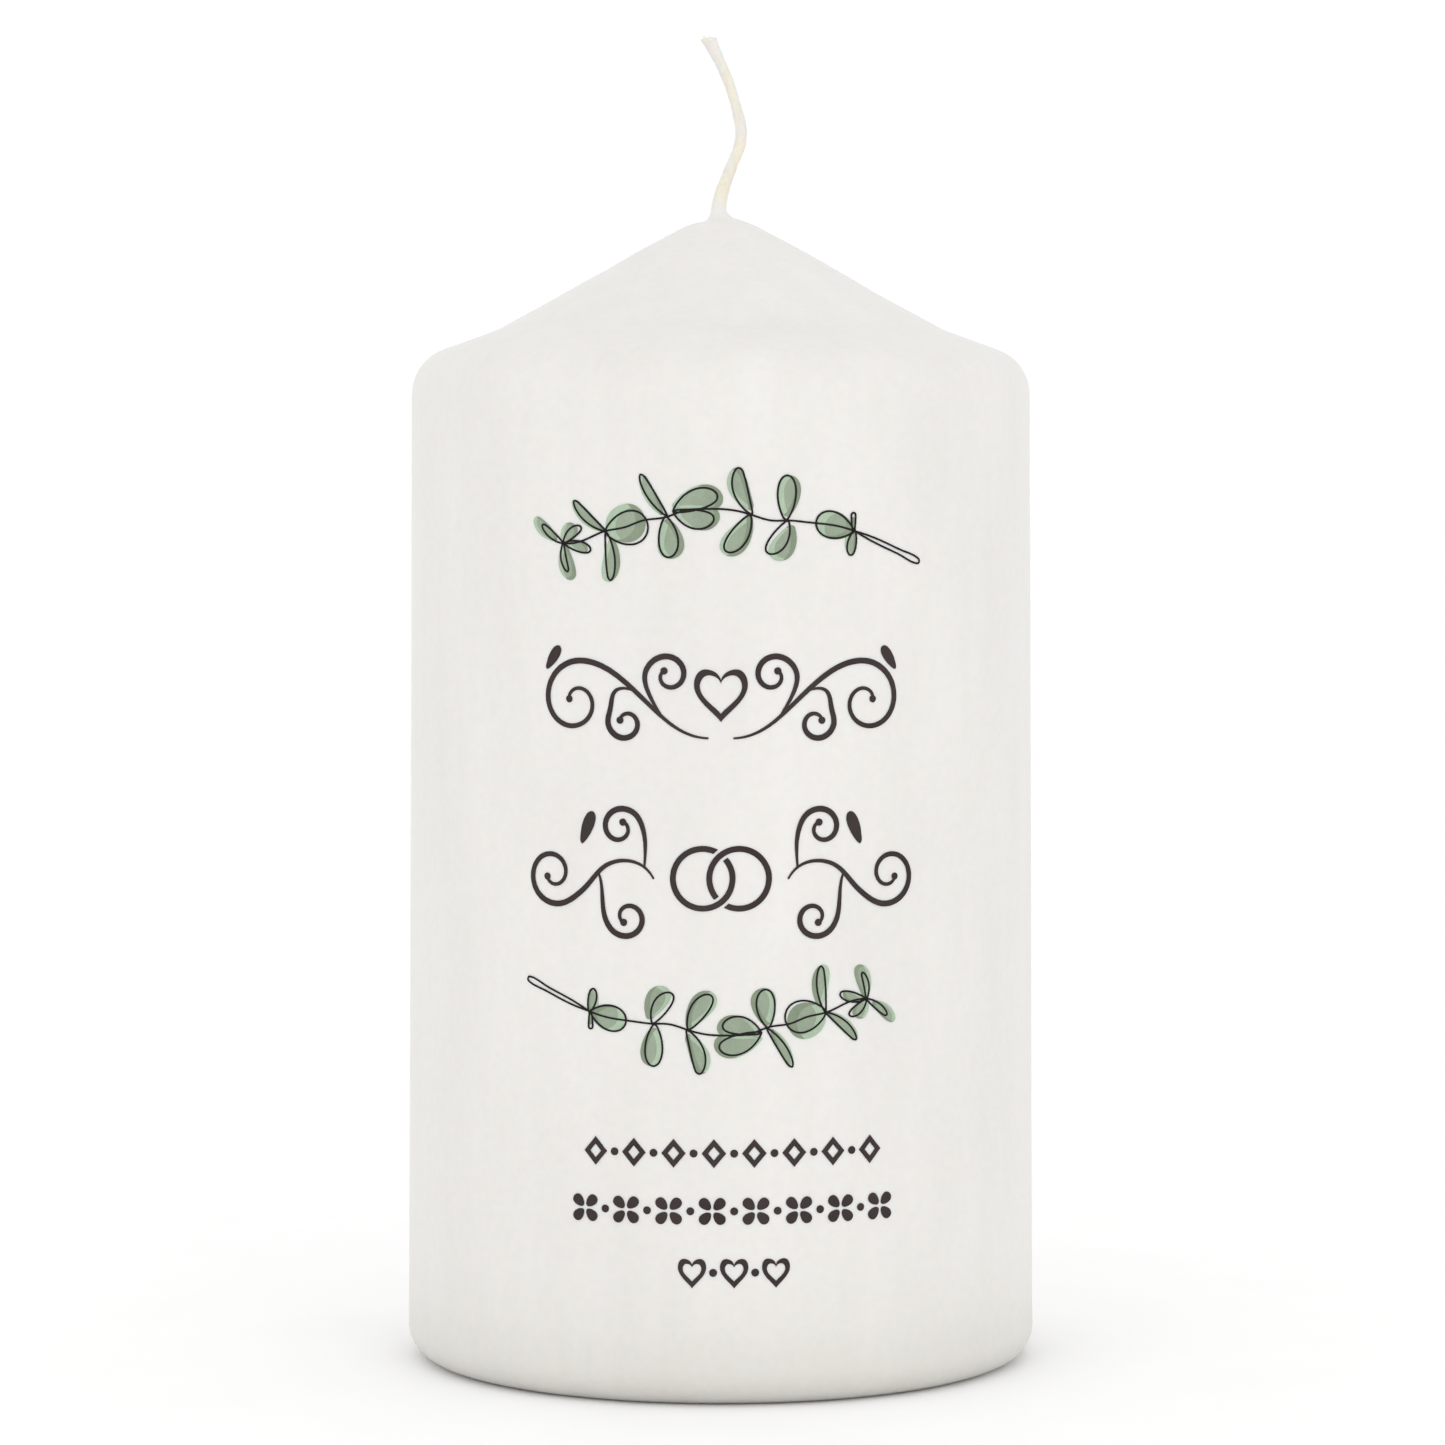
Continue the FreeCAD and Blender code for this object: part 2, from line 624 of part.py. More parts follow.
def row(height, pitch, count, mark):
    """Marks at an even pitch with a dot between each two."""
    first = row_middle - pitch * (count - 1) / 2.0
    faces = []
    for index in range(count):
        across = first + pitch * index
        faces += mark(drawing_frame(across, height))
        if index:
            dot = disc_outline((0.0, 0.0), 0.8 * mark_width)
            faces.append(closed_face(dot, drawing_frame(across - pitch / 2.0, height)))
    return Part.makeCompound(faces)


def small_heart(place):
    return [heart(place, mark_height / 2.0, mark_height, mark_width)]


def border_rows():
    top = row(16.2, 4.9, 8, lozenge)
    middle = row(9.2, 5.3, 8, flower)
    bottom = row(1.75, 5.1, 3, small_heart)
    return {"border_row_top": top, "border_row_middle": middle, "border_row_bottom": bottom}


# ---- build ----------------------------------------------------------------------------------
def all_nodes():
    core_form = wax_solid(coat_thickness)
    nodes = {
        "overdip_coat": overdip_coat(core_form),
        "wax_core": wax_core(core_form),
        "wick_sustainer": wick_sustainer(),
        "wick": wick(),
    }
    leaf_shell = front_shell(leaf_ink)
    line_shell = front_shell(line_ink)
    dark_shell = front_shell(dark_ink)
    for name, place in (("upper_sprig", upper_sprig), ("lower_sprig", lower_sprig)):
        line = sprig_line(place)
        nodes["%s_line" % name] = printed(line, line_shell)
        for tone, wash in sprig_greens(place, line).items():
            nodes["%s_%s_green" % (name, tone)] = printed(wash, leaf_shell)
    nodes["upper_scroll"] = printed(upper_scroll(), dark_shell)
    nodes["lower_scroll"] = printed(lower_scroll(), dark_shell)
    nodes["linked_rings"] = printed(linked_rings(), dark_shell)
    for name, flat in border_rows().items():
        nodes[name] = printed(flat, dark_shell)
    return nodes


os.makedirs("parts", exist_ok=True)
for node, shape in all_nodes().items():
    shape.exportStep("parts/%s.step" % node)
    print("%-26s solids %3d  valid %s" % (node, len(shape.Solids), shape.isValid()))
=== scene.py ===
import math
import random

import bmesh
import bpy
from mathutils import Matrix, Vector, noise


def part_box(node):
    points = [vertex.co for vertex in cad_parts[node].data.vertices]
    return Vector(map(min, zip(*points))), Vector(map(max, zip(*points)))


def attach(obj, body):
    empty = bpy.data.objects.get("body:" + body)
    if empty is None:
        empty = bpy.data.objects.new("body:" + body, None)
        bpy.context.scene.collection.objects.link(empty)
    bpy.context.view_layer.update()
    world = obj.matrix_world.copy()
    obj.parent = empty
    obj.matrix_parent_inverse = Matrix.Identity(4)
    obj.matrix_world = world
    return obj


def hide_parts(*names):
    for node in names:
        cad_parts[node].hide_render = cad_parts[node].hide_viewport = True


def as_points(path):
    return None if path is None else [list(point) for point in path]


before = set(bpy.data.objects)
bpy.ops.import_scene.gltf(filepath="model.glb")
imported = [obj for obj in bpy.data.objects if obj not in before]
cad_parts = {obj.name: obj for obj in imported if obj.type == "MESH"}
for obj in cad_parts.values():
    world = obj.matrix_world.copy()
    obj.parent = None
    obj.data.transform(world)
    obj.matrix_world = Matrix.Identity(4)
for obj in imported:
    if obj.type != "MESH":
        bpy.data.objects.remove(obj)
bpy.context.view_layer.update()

random.seed(7)

# ---- sizes that the candle's own boxes give --------------------------------------------------
coat_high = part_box("overdip_coat")[1]
tin_low, tin_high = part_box("wick_sustainer")
collar_height = 0.0012
base_r = coat_high.x
wax_top = coat_high.z - collar_height
coat_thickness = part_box("wax_core")[0].z

# ---- shape of the wax ------------------------------------------------------------------------
foot_radius = 0.004
body_taper = 0.00075
shoulder_radius = 0.006
shelf_slope = math.radians(20)
shelf_width = 0.01105
peak_height = 0.0141
crest_radius = 0.011
corner_radius = 0.006
rim_width = 0.006
rim_round = 0.0006
wick_hole_r = 0.0009
pocket_depth = 0.0008
pocket_r = tin_high.x + 0.0004
collar_reach = 0.0034
turn_steps = 420
outer_step = 0.0009     # between points along the profile where it shows
inner_step = 0.004      # and where the coat and the core hide it

# ---- wick ------------------------------------------------------------------------------------
wick_points = [
    (0.0, 0.0, 0.0025), (-0.00035, 0.0, 0.1437), (-0.0003, 0.0, 0.1473), (0.00115, 0.00015, 0.1513),
    (0.00285, 0.00035, 0.1552), (0.00195, 0.0001, 0.1593), (0.00055, -0.0003, 0.1636),
    (-0.0016, -0.0008, 0.1677)]
# Half the wick's width at these heights: thick with wax at the base, thin above the bend, flared at the cut.
wick_widths = [
    (0.0, 0.00074), (0.140, 0.00074), (0.1452, 0.00100), (0.1469, 0.00093), (0.1492, 0.00081),
    (0.1525, 0.00070), (0.1557, 0.00075), (0.1600, 0.00064), (0.1650, 0.00068), (0.1677, 0.00094)]


# ---- small helpers ---------------------------------------------------------------------------
def between(a, b, share):
    """The value at a share of the way from a to b."""
    return a + (b - a) * share


def soft_step(low, high, value):
    """0 below low, 1 above high, and a smooth turn between them."""
    share = min(1.0, max(0.0, (value - low) / (high - low)))
    return share * share * (3 - 2 * share)


def from_table(table, value):
    """Reads a list of (place, value) pairs, with straight lines between them."""
    for (low, first), (high, second) in zip(table, table[1:]):
        if value <= high:
            return between(first, second, max(0.0, (value - low) / (high - low)))
    return table[-1][1]


def add_mesh(name, points, faces, material):
    mesh = bpy.data.meshes.new(name)
    mesh.from_pydata([tuple(p) for p in points], [], faces)
    made = bpy.data.objects.new(name, mesh)
    bpy.context.scene.collection.objects.link(made)
    tidied = bmesh.new()
    tidied.from_mesh(mesh)
    bmesh.ops.recalc_face_normals(tidied, faces=tidied.faces)
    mark_smooth(tidied)
    tidied.to_mesh(mesh)
    tidied.free()
    mesh.materials.append(material)
    return made


def mark_smooth(shape, sharp=math.radians(50)):
    for face in shape.faces:
        face.smooth = True
    for edge in shape.edges:
        edge.smooth = len(edge.link_faces) == 2 and edge.calc_face_angle(0.0) < sharp


def arc_points(centre_r, centre_z, radius, start, end, step):
    """Points along an arc in the profile's plane, its angles in radians."""
    count = max(3, math.ceil(abs(radius * (end - start)) / step))
    angles = [between(start, end, k / count) for k in range(count + 1)]
    return [(centre_r + radius * math.cos(a), centre_z + radius * math.sin(a)) for a in angles]


def line_points(start, end, step):
    """Points from start to end, without the two ends."""
    count = max(1, math.ceil(math.dist(start, end) / step))
    return [
        (between(start[0], end[0], k / count), between(start[1], end[1], k / count))
        for k in range(1, count)]


# ---- the wax's form --------------------------------------------------------------------------
shoulder_r = base_r - body_taper
corner_r = shoulder_r - shelf_width
corner_z = wax_top - peak_height
flank_reach = math.hypot(corner_r, crest_radius - peak_height)
flank_slope = math.atan2(corner_r, crest_radius - peak_height) - math.acos(crest_radius / flank_reach)
shoulder_centre_r = shoulder_r - shoulder_radius
shelf_start_r = shoulder_centre_r + shoulder_radius * math.sin(shelf_slope)
shelf_start_z = corner_z - (shelf_start_r - corner_r) * math.tan(shelf_slope)
shoulder_z = shelf_start_z - shoulder_radius * math.cos(shelf_slope)


def body_radius(z):
    """Radius of the straight side at height z."""
    return between(base_r, shoulder_r, (z - foot_radius) / (shoulder_z - foot_radius))


def wax_profile(inset, step):
    """(r, z) points down the outside of the wax, from the crest's axis to the underside."""
    quarter = math.pi / 2
    shelf_in = Vector((-math.sin(shelf_slope), -math.cos(shelf_slope)))
    flank_in = Vector((-math.sin(flank_slope), -math.cos(flank_slope)))
    corner = Vector((corner_r, corner_z)) + (shelf_in + flank_in) * (inset / (1 + shelf_in.dot(flank_in)))
    radius = corner_radius + inset
    half_turn = (flank_slope - shelf_slope) / 2
    away = -(shelf_in + flank_in).normalized()
    centre = corner + away * (radius / math.cos(half_turn))
    turns = [math.atan2(inward.y, inward.x) for inward in (flank_in, shelf_in)]
    pieces = [
        arc_points(0.0, wax_top - crest_radius, crest_radius - inset, quarter, quarter - flank_slope, step),
        arc_points(centre.x, centre.y, radius, *turns, step),
        arc_points(shoulder_centre_r, shoulder_z, shoulder_radius - inset, quarter - shelf_slope, 0, step),
        arc_points(base_r - foot_radius, foot_radius, foot_radius - inset, 0, -quarter, step)]
    profile = list(pieces[0])
    for piece in pieces[1:]:
        profile += line_points(profile[-1], piece[0], step)
        profile += piece
    return profile


def wax_ripple(point):
    """How far the hand-dipped surface stands out from its true form at a point."""
    x, y, z = point
    broad = noise.noise(Vector((x / 0.026, y / 0.026, z / 0.055)))
    runs = noise.noise(Vector((x / 0.0085 + 31, y / 0.0085, z / 0.034)))
    lumps = noise.noise(Vector((x / 0.0075, y / 0.0075 + 57, z / 0.0065)))
    on_peak = soft_step(corner_z - 0.002, corner_z + 0.003, z) * soft_step(0.003, 0.009, math.hypot(x, y))
    at_foot = 1 - soft_step(0.002, 0.012, z)
    return 0.00010 * broad + 0.000035 * runs + (0.00016 * on_peak + 0.00010 * at_foot + 0.000012) * lumps


def outward(profile, index):
    """Direction square to the profile at a point, away from the wax."""
    before = profile[max(index - 1, 0)]
    after = profile[min(index + 1, len(profile) - 1)]
    return Vector((before[1] - after[1], after[0] - before[0])).normalized()


def turned(name, outline, material, move=None):
    """Closed mesh turned about Z from a closed outline of (r, z) points; move may shift each of them."""
    count = len(outline)
    points = []
    for step in range(turn_steps):
        angle = 2 * math.pi * step / turn_steps
        for index, (r, z) in enumerate(outline):
            point = Vector((r * math.cos(angle), r * math.sin(angle), z))
            points.append(move(index, point) if move else point)
    faces = []
    for step in range(turn_steps):
        here, there = step * count, (step + 1) % turn_steps * count
        for index in range(count):
            after = (index + 1) % count
            faces.append((here + index, here + after, there + after, there + index))
    return add_mesh(name, points, faces, material)


def collar_profile():
    """The wax that climbs the wick: from a thin edge hidden in the wick out to the crest."""
    start, height, steps = 0.00070, 0.0020, 15
    points = []
    for k in range(steps + 1):
        share = (k / steps) ** 1.3
        r = between(start, collar_reach, share)
        crest_z = wax_top - crest_radius + math.sqrt(crest_radius ** 2 - r ** 2)
        points.append((r, crest_z + height * (1 - share) ** 6))
    return points


def wax_coat(material):
    """The dipped layer: outside, the ring it stands on, and its inner face against the core."""
    outside = collar_profile()
    outside += [p for p in wax_profile(0.0, outer_step) if p[0] > collar_reach + 0.0004]
    rim_r = base_r - foot_radius - rim_width
    outside += line_points(outside[-1], (rim_r + rim_round, 0.0), 0.0012)
    outside += arc_points(rim_r + rim_round, rim_round, rim_round, -math.pi / 2, -math.pi, 0.0003)
    inside = [p for p in wax_profile(coat_thickness, inner_step) if p[0] > wick_hole_r + 0.0002]
    inside = [(wick_hole_r, inside[0][1])] + inside + [(rim_r, coat_thickness)]
    outline = outside + inside[::-1]
    normals = [outward(outside, k) for k in range(len(outside))]

    def move(index, point):
        """Ripples the outside, but for the ring it stands on, and leans the collar with the wick."""
        if index >= len(outside):
            return point
        r, z = outside[index]
        angle = math.atan2(point.y, point.x)
        lift = wax_ripple(point)
        if z < 0.0007:
            lift *= soft_step(-0.0001, 0.0007, z)
        if r < collar_reach + 0.004:
            lift *= soft_step(collar_reach, collar_reach + 0.004, r)
        r += normals[index].x * lift
        z += normals[index].y * lift
        if r < rim_r + 0.002 and z < coat_thickness:
            r += 0.0005 * noise.noise(Vector((math.cos(angle) * 5, math.sin(angle) * 5, 3.0)))
        moved = Vector((r * math.cos(angle), r * math.sin(angle), z))
        lean = 1 - soft_step(0.0012, 0.0050, r) if z > corner_z else 0.0
        moved.x += wick_points[2][0] * lean
        moved.z += 0.00025 * math.cos(angle) * lean * soft_step(0.0008, 0.0014, r)
        return moved

    return turned("wax_coat", outline, material, move)


def pressed_core(material):
    """The pressed core: a plain outside against the coat, and a pressed underside that shows."""
    gap, lip_round, neck_hole_r = 0.00002, 0.0003, 0.0017
    outside = [p for p in wax_profile(coat_thickness + gap, inner_step) if p[0] > wick_hole_r + 0.0002]
    outside = [(wick_hole_r, outside[0][1])] + outside
    lip_r, lip_z = pocket_r + lip_round, coat_thickness + lip_round
    under = line_points(outside[-1], (lip_r, coat_thickness), 0.0006)
    lip = arc_points(lip_r, lip_z, lip_round, -math.pi / 2, -math.pi, 0.00015)
    roof_z = coat_thickness + pocket_depth
    neck_z = tin_high.z + 0.0004
    roof = [(pocket_r, roof_z)] + line_points((pocket_r, roof_z), (neck_hole_r, roof_z), 0.0012)
    bore = [(neck_hole_r, roof_z), (neck_hole_r, neck_z), (wick_hole_r, neck_z)]
    outline = outside + under + lip + roof + bore
    first, last = len(outside), len(outside) + len(under)

    def move(index, point):
        """Presses fine grains into the underside."""
        if not first <= index < last:
            return point
        grains = noise.noise(point * 620) * 0.00007 + noise.noise(point * 210) * 0.00010
        point.z += max(0.0, grains) + 0.00002
        return point

    return turned("pressed_core", outline, material, move)


def sustainer(material):
    """Pressed tin disc with a rolled edge, two raised rings, three stamped ribs and a crimped neck."""
    radius, low, high = tin_high.x, tin_low.z, tin_low.z + 0.0003
    neck_r, bore_r, top = 0.00115, 0.0008, tin_high.z
    ring = [(r, low) for r in (0.0035, 0.0042, 0.0046, 0.0050, 0.0057)]
    second = [(r, low) for r in (0.0072, 0.0076, 0.0080, 0.0084, 0.0088)]
    edge = arc_points(radius - 0.00015, low + 0.00015, 0.00015, -math.pi / 2, math.pi / 2, 0.00006)
    outline = [(bore_r, low), (0.0012, low), (0.0022, low), (0.0029, low)] + ring + second + edge
    outline += [(0.0080, high), (0.0060, high), (0.0040, high), (0.0020, high), (neck_r + 0.0003, high)]
    outline.append((neck_r, high + 0.0003))
    outline += [(neck_r, between(high, top, share)) for share in (0.3, 0.45, 0.6, 0.8, 1.0)]
    outline += [(bore_r, top), (bore_r, between(high, top, 0.5))]
    raised = {5: 0.00006, 6: 0.00012, 7: 0.00012, 10: 0.00006, 11: 0.00012, 12: 0.00012}

    def move(index, point):
        """Raises the rings and three ribs, and pinches the neck at two sides."""
        r, angle = math.hypot(point.x, point.y), math.atan2(point.y, point.x)
        if index in raised:
            point.z += raised[index]
        if abs(point.z - low) < 0.0002 and 0.002 < r < 0.0068:
            point.z += 0.00008 * max(0.0, math.cos(3 * angle)) ** 12
        if point.z > high + 0.0005 and r > 0.001:
            rise = soft_step(0.2, 0.5, (point.z - high) / (top - high))
            pinch = 0.00014 * max(0.0, math.cos(2 * angle)) ** 6 * rise
            point.x *= 1 - pinch / r
            point.y *= 1 - pinch / r
        return point

    return turned("tin_sustainer", outline, material, move)


# ---- wick ------------------------------------------------------------------------------------
def route_line(points):
    """The smooth line of a NURBS spline with these control points."""
    curve = bpy.data.curves.new("wick_route", "CURVE")
    curve.dimensions = "3D"
    spline = curve.splines.new("NURBS")
    spline.points.add(len(points) - 1)
    for held, point in zip(spline.points, points):
        held.co = (*point, 1.0)
    spline.order_u = 3
    spline.use_endpoint_u = True
    spline.resolution_u = 40
    carrier = bpy.data.objects.new("wick_route", curve)
    mesh = bpy.data.meshes.new_from_object(carrier)
    line = [v.co.copy() for v in mesh.vertices]
    bpy.data.meshes.remove(mesh)
    bpy.data.objects.remove(carrier)
    bpy.data.curves.remove(curve)
    return line


def evenly(line, step):
    """The line again with its points step apart."""
    places, spent = [line[0]], 0.0
    for start, end in zip(line, line[1:]):
        run = (end - start).length
        while run > 0 and spent + run >= step:
            share = (step - spent) / run
            start = start.lerp(end, share)
            run = (end - start).length
            spent = 0.0
            places.append(start)
        spent += run
    return places + [line[-1]]


def braid_height(turn, along):
    """Height of plaited strands on the wick's surface, from 0 to 1, at a turn and a distance along it."""
    carriers, pitch = 4, 0.0044
    left = carriers * turn / (2 * math.pi) + carriers * along / pitch
    right = carriers * turn / (2 * math.pi) - carriers * along / pitch
    over = 0.5 + 0.5 * math.cos(math.pi * (left + right)) * math.cos(math.pi * (left - right))
    first = abs(math.cos(math.pi * left)) ** 0.7
    second = abs(math.cos(math.pi * right)) ** 0.7
    return max(first * (0.55 + 0.45 * over), second * (1 - 0.45 * over))


def braided_wick(material):
    """The plaited wick, smooth with wax at its base, and the line it follows."""
    line = route_line(wick_points)
    places = evenly(line, 0.00022)
    around = 36
    points, faces = [], []
    across, along = Vector((1, 0, 0)), 0.0
    for index, place in enumerate(places):
        ahead = (places[min(index + 1, len(places) - 1)] - places[max(index - 1, 0)]).normalized()
        across = (across - ahead * across.dot(ahead)).normalized()
        depth = ahead.cross(across)
        if index:
            along += (place - places[index - 1]).length
        half = from_table(wick_widths, place.z)
        half *= 1 + 0.05 * noise.noise(Vector((along / 0.0016, 4.0, 0.0)))
        waxed = 1 - soft_step(wax_top + 0.001, wax_top + 0.0035, place.z) * 0.75
        relief = 0.00006 * (1 - waxed)
        bead = 0.00004 * noise.noise(Vector((along / 0.0011, 9.0, 2.0)))
        cut = soft_step(wick_points[-1][2] - 0.0016, wick_points[-1][2], place.z)
        for k in range(around):
            turn = 2 * math.pi * k / around
            reach = relief * (braid_height(turn, along) - 0.6) + bead
            reach += 0.00003 * noise.noise(Vector((math.cos(turn) * 2, math.sin(turn) * 2, along / 0.0009)))
            sway = across * math.cos(turn) * (half + reach)
            sway += depth * math.sin(turn) * (half * 0.86 + reach)
            points.append(place + sway - ahead * sway.dot(Vector((0, 0, 1))) * 0.75 * cut)
    for index in range(len(places) - 1):
        for k in range(around):
            after = (k + 1) % around
            here, there = index * around, (index + 1) * around
            faces.append((here + k, here + after, there + after, there + k))
    faces.append(tuple(range(around))[::-1])
    close_cut_end(points, faces, around)
    add_fibres(points, faces, places[-1])
    return add_mesh("braided_wick", points, faces, material), line


def close_cut_end(points, faces, around):
    """Fills the wick's cut end with the lumpy ends of its strands."""
    ring = list(range(len(points) - around, len(points)))
    rim = [points[k] for k in ring]
    middle = sum(rim, Vector()) / around
    for share in (0.85, 0.62, 0.36, 0.14):
        first = len(points)
        for place in rim:
            point = middle.lerp(place, share)
            lift = 0.00010 * (noise.noise(point * 4200) + 0.35) + 0.00009 * (1 - share)
            points.append(point + Vector((0, 0, lift)))
        inner = list(range(first, first + around))
        for k in range(around):
            after = (k + 1) % around
            faces.append((ring[k], ring[after], inner[after], inner[k]))
        ring = inner
    faces.append(tuple(ring))


def add_fibres(points, faces, tip):
    """Short cotton fibres that stand out of the cut end."""
    fibres, rings, sides = 14, 4, 5
    for _ in range(fibres):
        turn, lean = random.uniform(0, 2 * math.pi), random.uniform(0.2, 0.7)
        start = tip + Vector((math.cos(turn) * 0.0005, math.sin(turn) * 0.0005, -0.00015))
        way = Vector((math.cos(turn) * lean - 0.25, math.sin(turn) * lean, 1.0)).normalized()
        length, radius = random.uniform(0.0004, 0.0009), 0.00004
        side = way.orthogonal().normalized()
        other = way.cross(side)
        first = len(points)
        for step in range(rings):
            share = step / (rings - 1)
            middle = start + way * length * share + side * 0.00012 * share * share
            thick = radius * (1 - 0.75 * share)
            for k in range(sides):
                spin = 2 * math.pi * k / sides
                points.append(middle + (side * math.cos(spin) + other * math.sin(spin)) * thick)
        for low in range(first, first + (rings - 1) * sides, sides):
            for k in range(sides):
                after = (k + 1) % sides
                faces.append((low + k, low + after, low + sides + after, low + sides + k))
        last = first + (rings - 1) * sides
        faces.append(tuple(first + k for k in range(sides))[::-1])
        faces.append(tuple(last + k for k in range(sides)))


# ---- materials -------------------------------------------------------------------------------
def linear(value):
    """Screen value from 0 to 255 as light."""
    share = value / 255
    return share / 12.92 if share <= 0.04045 else ((share + 0.055) / 1.055) ** 2.4


def colour(red, green, blue):
    """A colour given in screen values."""
    return (linear(red), linear(green), linear(blue), 1.0)


class Recipe:
    """A material with one Principled shader, built up from procedural textures in object space."""

    def __init__(self, name, roughness, **values):
        self.material = bpy.data.materials.new(name)
        self.material.use_nodes = True
        self.nodes = self.material.node_tree.nodes
        self.links = self.material.node_tree.links
        self.shader = self.nodes["Principled BSDF"]
        self.shader.inputs["Roughness"].default_value = roughness
        for socket, value in values.items():
            self.shader.inputs[socket.replace("_", " ")].default_value = value
        self.place = self.nodes.new("ShaderNodeTexCoord").outputs["Object"]

    def texture(self, size, stretch=(1, 1, 1), detail=3.0, rough=0.55):
        """Noise whose features are about size metres across, from 0 to 1."""
        mapping = self.nodes.new("ShaderNodeMapping")
        mapping.inputs["Scale"].default_value = [k / size for k in stretch]
        self.links.new(self.place, mapping.inputs["Vector"])
        made = self.nodes.new("ShaderNodeTexNoise")
        made.inputs["Scale"].default_value = 1.0
        made.inputs["Detail"].default_value = detail
        made.inputs["Roughness"].default_value = rough
        self.links.new(mapping.outputs["Vector"], made.inputs["Vector"])
        return made.outputs["Fac"]

    def height(self, low, high):
        """0 below one height on the candle and 1 above another."""
        split = self.nodes.new("ShaderNodeSeparateXYZ")
        span = self.nodes.new("ShaderNodeMapRange")
        span.inputs["From Min"].default_value = low
        span.inputs["From Max"].default_value = high
        self.links.new(self.place, split.inputs["Vector"])
        self.links.new(split.outputs["Z"], span.inputs["Value"])
        return span.outputs["Result"]

    def grade(self, value, stops):
        """A ramp of colours over a value."""
        ramp = self.nodes.new("ShaderNodeValToRGB")
        points = ramp.color_ramp.elements
        points[0].position, points[0].color = stops[0]
        points[1].position, points[1].color = stops[-1]
        for place, tone in stops[1:-1]:
            points.new(place).color = tone
        self.links.new(value, ramp.inputs["Fac"])
        return ramp.outputs["Color"]

    def blended(self, first, second, how="MULTIPLY", share=1.0):
        """Two colours mixed, the second over the first."""
        mix = self.nodes.new("ShaderNodeMix")
        mix.data_type = "RGBA"
        mix.blend_type = how
        mix.inputs["Factor"].default_value = share
        self.links.new(first, mix.inputs["A"])
        self.links.new(second, mix.inputs["B"])
        return mix.outputs["Result"]

    def tone(self, value):
        """The shader's colour comes from this value."""
        self.links.new(value, self.shader.inputs["Base Color"])

    def drive(self, socket, value, span, results):
        """Sets a shader socket between two results as the value crosses its span."""
        made = self.nodes.new("ShaderNodeMapRange")
        made.inputs["From Min"].default_value, made.inputs["From Max"].default_value = span
        made.inputs["To Min"].default_value, made.inputs["To Max"].default_value = results
        self.links.new(value, made.inputs["Value"])
        self.links.new(made.outputs["Result"], self.shader.inputs[socket])

    def gloss(self, value, low, high):
        """Roughness between low and high as the value goes from 0.3 to 0.7."""
        self.drive("Roughness", value, (0.3, 0.7), (low, high))

    def relief(self, *layers):
        """Bump from (value, depth in metres) layers, one upon another."""
        under = None
        for value, depth in layers:
            bump = self.nodes.new("ShaderNodeBump")
            bump.inputs["Distance"].default_value = depth
            self.links.new(value, bump.inputs["Height"])
            if under:
                self.links.new(under, bump.inputs["Normal"])
            under = bump.outputs["Normal"]
        self.links.new(under, self.shader.inputs["Normal"])


def wax_material():
    """White wax: cloudy, faintly streaked by dipping, less clear where it is thin, and greyed towards the
    bottom by painted shade.
    """
    made = Recipe("dipped_wax", 0.42, IOR=1.44, Subsurface_Weight=0.35, Subsurface_Scale=0.0012)
    made.shader.inputs["Subsurface Radius"].default_value = (1.0, 0.8, 0.62)
    clouds = made.texture(0.016, (1, 1, 0.38), detail=4.0)
    streaks = made.texture(0.005, (1, 1, 0.16), detail=3.0)
    specks = made.texture(0.0011, detail=2.0)
    base = made.grade(clouds, [(0.30, colour(225, 223, 220)), (0.70, colour(229, 227, 224))])
    veil = made.grade(streaks, [(0.30, colour(252, 252, 251)), (0.70, colour(255, 255, 255))])
    grain = made.grade(specks, [(0.32, colour(252, 252, 251)), (0.68, colour(255, 255, 255))])
    # Painted shade: a grey that deepens towards the bottom of the wax, standing in for the floor's shade
    # there, is painted into the colour.
    painted_bottom_shade = made.grade(made.height(0.0, 0.016), [
        (0.0, colour(229, 229, 227)), (0.25, colour(244, 244, 242)), (0.6, colour(252, 252, 251)),
        (1.0, colour(255, 255, 255))])
    made.tone(made.blended(made.blended(made.blended(base, veil), grain), painted_bottom_shade))
    made.gloss(clouds, 0.36, 0.50)
    made.drive("Subsurface Weight", made.height(wax_top - 0.0004, wax_top + 0.0008), (0, 1), (0.35, 0.0))
    made.relief((streaks, 0.00008), (specks, 0.00002))
    return made.material


def core_material():
    """Pressed wax, grainier and duller than the coat."""
    made = Recipe("pressed_wax", 0.6, IOR=1.44, Subsurface_Weight=0.25, Subsurface_Scale=0.0012)
    grains = made.texture(0.0016, detail=2.0)
    clouds = made.texture(0.010, detail=3.0)
    base = made.grade(grains, [(0.30, colour(216, 213, 206)), (0.70, colour(234, 232, 226))])
    veil = made.grade(clouds, [(0.30, colour(244, 243, 240)), (0.70, colour(255, 255, 255))])
    made.tone(made.blended(base, veil))
    made.gloss(grains, 0.50, 0.72)
    made.relief((grains, 0.00012), (clouds, 0.00020))
    return made.material


def tin_material():
    """Tinned steel with a faint brushed grain and dull spots."""
    made = Recipe("tinned_steel", 0.32, Metallic=1.0)
    brushed = made.texture(0.0006, (1, 0.08, 1), detail=3.0)
    spots = made.texture(0.0030, detail=4.0)
    base = made.grade(spots, [(0.30, colour(168, 168, 170)), (0.70, colour(205, 205, 206))])
    veil = made.grade(brushed, [(0.30, colour(232, 232, 232)), (0.70, colour(255, 255, 255))])
    made.tone(made.blended(base, veil))
    made.gloss(brushed, 0.24, 0.42)
    made.relief((brushed, 0.00001), (spots, 0.00003))
    return made.material


